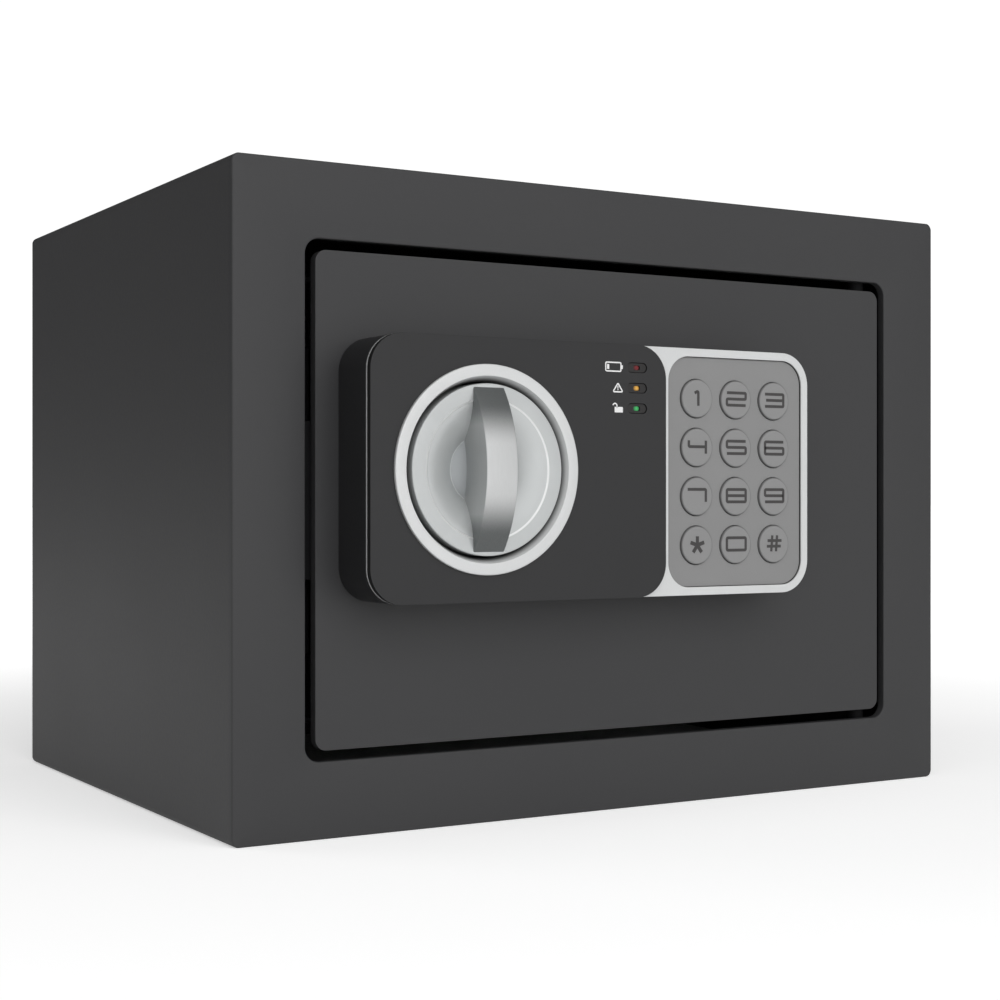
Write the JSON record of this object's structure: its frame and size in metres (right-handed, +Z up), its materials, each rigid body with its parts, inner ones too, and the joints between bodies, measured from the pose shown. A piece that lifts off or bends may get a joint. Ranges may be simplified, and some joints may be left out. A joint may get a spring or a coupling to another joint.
{
  "type": "safe",
  "caption": "Small electronic safe: dark grey steel box, inset hinged door, keypad lock panel, turning knob that throws round bolts.",
  "frame": {"origin": "centre of the body's footprint, on the surface it stands on", "axes": "+Z up, -Y out through the door, +X to the right as the door is seen from the front"},
  "size_m": [0.23, 0.1955, 0.17],
  "materials": {
    "body_paint": "semi-gloss powder coat, fine orange-peel texture",
    "door_paint": "semi-gloss powder coat, fine orange-peel texture",
    "inner_paint": "powder coat over folded sheet steel",
    "felt": "short-pile felt",
    "zinc_steel": "zinc plated",
    "blackened_steel": "blackened and oiled",
    "bright_steel": "bright nickel plate",
    "spring_steel": "drawn spring wire, nickel plated",
    "brass": "turned, unlacquered",
    "black_plastic": "moulded ABS with a light spark texture",
    "gloss_black": "satin moulded face",
    "silver_plastic": "satin silver lacquer on ABS",
    "knob_metal": "satin silver, brushed grip bar",
    "pad_rubber": "matt silicone rubber",
    "key_rubber": "matt silicone rubber, printed digits",
    "board_green": "glass-epoxy board with solder mask",
    "led_red": "tinted epoxy lens",
    "led_amber": "tinted epoxy lens",
    "led_green": "tinted epoxy lens",
    "coil_tape": "copper winding under lacquered tape",
    "cell_wrap": "printed shrink sleeve over steel can",
    "lead_sheath": "PVC insulation",
    "red_plastic": "moulded button"
  },
  "bodies": {
    "body": {"body_shell": "body_paint", "front_frame": "body_paint", "back_panel": "body_paint", "floor_mat": "felt", "hinge_brackets": "inner_paint", "door_stop": "blackened_steel"},
    "door": {"door_plate": "door_paint", "hinge_lugs": "inner_paint", "hinge_pins": "blackened_steel", "lock_case": "inner_paint", "case_cover": "inner_paint", "case_posts": "zinc_steel", "case_screws": "zinc_steel", "panel_base": "black_plastic", "panel_screws": "zinc_steel", "silver_bezel": "silver_plastic", "black_cover": "gloss_black", "knob_ring": "silver_plastic", "keypad_mat": "pad_rubber", "circuit_board": "board_green", "led_red": "led_red", "led_amber": "led_amber", "led_green": "led_green", "spindle_bush": "brass", "guide_studs": "zinc_steel", "solenoid_yoke": "zinc_steel", "solenoid_coil": "coil_tape", "override_barrel": "bright_steel", "battery_tray": "black_plastic", "battery_cells": "cell_wrap", "battery_contacts": "spring_steel", "wire_leads": "lead_sheath", "reset_switch": "black_plastic"},
    "knob": {"knob_dial": "knob_metal", "knob_grip": "knob_metal", "knob_spindle": "zinc_steel", "crank": "zinc_steel", "crank_screw": "zinc_steel"},
    "bolts": {"bolt_carriage": "zinc_steel", "locking_bolts": "bright_steel", "bolt_rivets": "zinc_steel"},
    "plunger": {"solenoid_plunger": "bright_steel", "plunger_spring": "spring_steel"},
    "override_key": {"override_plug": "brass", "override_cam": "zinc_steel"},
    "battery_lid": {"battery_lid": "black_plastic"},
    "reset_button": {"reset_button": "red_plastic"},
    "key_1": {"key_1": "key_rubber"},
    "key_2": {"key_2": "key_rubber"},
    "key_3": {"key_3": "key_rubber"},
    "key_4": {"key_4": "key_rubber"},
    "key_5": {"key_5": "key_rubber"},
    "key_6": {"key_6": "key_rubber"},
    "key_7": {"key_7": "key_rubber"},
    "key_8": {"key_8": "key_rubber"},
    "key_9": {"key_9": "key_rubber"},
    "key_star": {"key_star": "key_rubber"},
    "key_0": {"key_0": "key_rubber"},
    "key_hash": {"key_hash": "key_rubber"}
  },
  "joints": [
    {"name": "door_swing", "type": "hinge", "parent": "body", "child": "door", "pos_m": [0.08875, -0.0795, 0], "axis": [0, 0, 1], "range_deg": [0, 97]},
    {"name": "knob_turn", "type": "hinge", "parent": "door", "child": "knob", "pos_m": [-0.0534, -0.1035, 0.0927], "axis": [0, -1, 0], "range_deg": [0, 90]},
    {"name": "bolt_throw", "type": "slide", "parent": "door", "child": "bolts", "axis": [-1, 0, 0], "range_m": [0, 0.014]},
    {"name": "plunger_lift", "type": "slide", "parent": "door", "child": "plunger", "axis": [0, 0, 1], "range_m": [0, 0.0015], "stiffness_N_per_m": 120, "springref_m": -0.004, "deforming": ["plunger_spring"]},
    {"name": "override_turn", "type": "hinge", "parent": "door", "child": "override_key", "pos_m": [-0.019, -0.085, 0.076], "axis": [0, -1, 0], "range_deg": [0, 90]},
    {"name": "battery_lid_slide", "type": "slide", "parent": "door", "child": "battery_lid", "axis": [0, 0, 1], "range_m": [0, 0.04]},
    {"name": "reset_press", "type": "slide", "parent": "door", "child": "reset_button", "axis": [0, -1, 0], "range_m": [0, 0.0012], "stiffness_N_per_m": 400, "springref_m": -0.001},
    {"name": "key_1_press", "type": "slide", "parent": "door", "child": "key_1", "axis": [0, 1, 0], "range_m": [0, 0.0008], "stiffness_N_per_m": 500, "springref_m": -0.0005},
    {"name": "key_2_press", "type": "slide", "parent": "door", "child": "key_2", "axis": [0, 1, 0], "range_m": [0, 0.0008], "stiffness_N_per_m": 500, "springref_m": -0.0005},
    {"name": "key_3_press", "type": "slide", "parent": "door", "child": "key_3", "axis": [0, 1, 0], "range_m": [0, 0.0008], "stiffness_N_per_m": 500, "springref_m": -0.0005},
    {"name": "key_4_press", "type": "slide", "parent": "door", "child": "key_4", "axis": [0, 1, 0], "range_m": [0, 0.0008], "stiffness_N_per_m": 500, "springref_m": -0.0005},
    {"name": "key_5_press", "type": "slide", "parent": "door", "child": "key_5", "axis": [0, 1, 0], "range_m": [0, 0.0008], "stiffness_N_per_m": 500, "springref_m": -0.0005},
    {"name": "key_6_press", "type": "slide", "parent": "door", "child": "key_6", "axis": [0, 1, 0], "range_m": [0, 0.0008], "stiffness_N_per_m": 500, "springref_m": -0.0005},
    {"name": "key_7_press", "type": "slide", "parent": "door", "child": "key_7", "axis": [0, 1, 0], "range_m": [0, 0.0008], "stiffness_N_per_m": 500, "springref_m": -0.0005},
    {"name": "key_8_press", "type": "slide", "parent": "door", "child": "key_8", "axis": [0, 1, 0], "range_m": [0, 0.0008], "stiffness_N_per_m": 500, "springref_m": -0.0005},
    {"name": "key_9_press", "type": "slide", "parent": "door", "child": "key_9", "axis": [0, 1, 0], "range_m": [0, 0.0008], "stiffness_N_per_m": 500, "springref_m": -0.0005},
    {"name": "key_star_press", "type": "slide", "parent": "door", "child": "key_star", "axis": [0, 1, 0], "range_m": [0, 0.0008], "stiffness_N_per_m": 500, "springref_m": -0.0005},
    {"name": "key_0_press", "type": "slide", "parent": "door", "child": "key_0", "axis": [0, 1, 0], "range_m": [0, 0.0008], "stiffness_N_per_m": 500, "springref_m": -0.0005},
    {"name": "key_hash_press", "type": "slide", "parent": "door", "child": "key_hash", "axis": [0, 1, 0], "range_m": [0, 0.0008], "stiffness_N_per_m": 500, "springref_m": -0.0005}
  ],
  "couplings": [
    {"joint": "knob_turn", "follows": "bolt_throw", "rad_per_m": 112.19}
  ]
}
